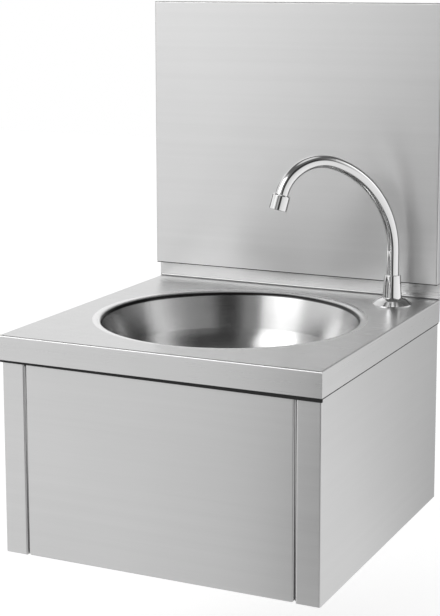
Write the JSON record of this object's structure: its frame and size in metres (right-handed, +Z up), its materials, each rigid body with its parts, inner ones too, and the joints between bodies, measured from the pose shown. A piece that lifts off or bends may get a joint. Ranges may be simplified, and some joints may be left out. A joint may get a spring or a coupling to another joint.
{
  "type": "stainless steel hand wash sink",
  "caption": "Wall hung square stainless steel hand wash sink with a round bowl, tall splash panel, swan neck spout and a front plate pushed by the knee to open a self-closing valve.",
  "frame": {"origin": "on the wall plane, at the middle of the two bolt holes of the wall bracket that carries the sink", "axes": "+X to the user's right, -Y out of the wall towards the user, +Z up"},
  "size_m": [0.4, 0.402, 0.6345],
  "materials": {
    "brushed_steel": "fine horizontal grain",
    "rail_steel": "mill finish",
    "fastener_steel": "turned",
    "plunger_steel": "ground",
    "spring_steel": "drawn",
    "brass": "machined",
    "copper_pipe": "drawn pipe",
    "chrome": "polished",
    "polished_waste": "polished steel",
    "black_rubber": "matt",
    "nylon_white": "moulded",
    "knob_plastic": "moulded",
    "trap_plastic": "moulded"
  },
  "bodies": {
    "casing": {"bowl": "brushed_steel", "check_valve_cold": "brass", "check_valve_hot": "brass", "deck": "brushed_steel", "hanging_rail": "rail_steel", "mixer_body": "brass", "mixer_gland": "brass", "mixer_union_nut": "brass", "outlet_pipe": "copper_pipe", "pipe_nut_lower": "brass", "pipe_nut_upper": "brass", "pivot_pin_left": "fastener_steel", "pivot_pin_right": "fastener_steel", "pivot_washers": "nylon_white", "rear_tie": "rail_steel", "side_panel_left": "brushed_steel", "side_panel_right": "brushed_steel", "splash_hook": "rail_steel", "splash_panel": "brushed_steel", "splash_rail": "rail_steel", "splash_spacers": "black_rubber", "spout_seals": "black_rubber", "strainer_screw": "fastener_steel", "tap_back_nut": "brass", "tap_body": "brass", "tap_collar": "chrome", "tap_gasket": "black_rubber", "tap_rosette": "chrome", "tap_tail": "brass", "tap_washer": "nylon_white", "trap_body": "trap_plastic", "trap_cup": "trap_plastic", "trap_inlet_nut": "trap_plastic", "trap_outlet_nut": "trap_plastic", "valve_body": "brass", "valve_bonnet": "brass", "valve_end_cap": "brass", "valve_lock_nut": "brass", "valve_rail": "rail_steel", "valve_spring": "spring_steel", "wall_bracket": "rail_steel", "wall_cover": "trap_plastic", "waste_back_nut": "trap_plastic", "waste_body": "polished_waste", "waste_pipe": "trap_plastic", "waste_seal_ring": "black_rubber", "waste_strainer": "polished_waste"},
    "knee_plate": {"knee_panel": "brushed_steel", "knee_pad": "nylon_white", "knee_pad_studs": "fastener_steel", "knee_pad_nuts": "fastener_steel"},
    "plunger": {"valve_plunger": "plunger_steel", "plunger_seal": "black_rubber"},
    "swan_neck": {"spout": "chrome", "spout_foot": "brass", "spout_stop_pin": "spring_steel", "aerator_housing": "chrome", "aerator_insert": "nylon_white"},
    "blend_control": {"blend_spindle": "brass", "blend_knob": "knob_plastic"}
  },
  "joints": [
    {"name": "knee_push", "type": "hinge", "parent": "casing", "child": "knee_plate", "pos_m": [0, -0.388, 0.036], "axis": [1, 0, 0], "range_deg": [0, 4], "stiffness_Nm_per_rad": 12, "springref_deg": -6.88},
    {"name": "valve_press", "type": "slide", "parent": "casing", "child": "plunger", "axis": [0, 1, 0], "range_m": [0, 0.0128], "stiffness_N_per_m": 400, "springref_m": -0.01, "deforming": ["valve_spring"]},
    {"name": "spout_swivel", "type": "hinge", "parent": "casing", "child": "swan_neck", "pos_m": [0.153, -0.05, 0.06], "axis": [0, 0, 1], "range_deg": [-35, 35]},
    {"name": "blend_turn", "type": "hinge", "parent": "casing", "child": "blend_control", "pos_m": [-0.112, -0.317, -0.145], "axis": [1, 0, 0], "range_deg": [-45, 45]}
  ],
  "couplings": [
    {"joint": "valve_press", "follows": "knee_push", "m_per_rad": 0.181}
  ]
}
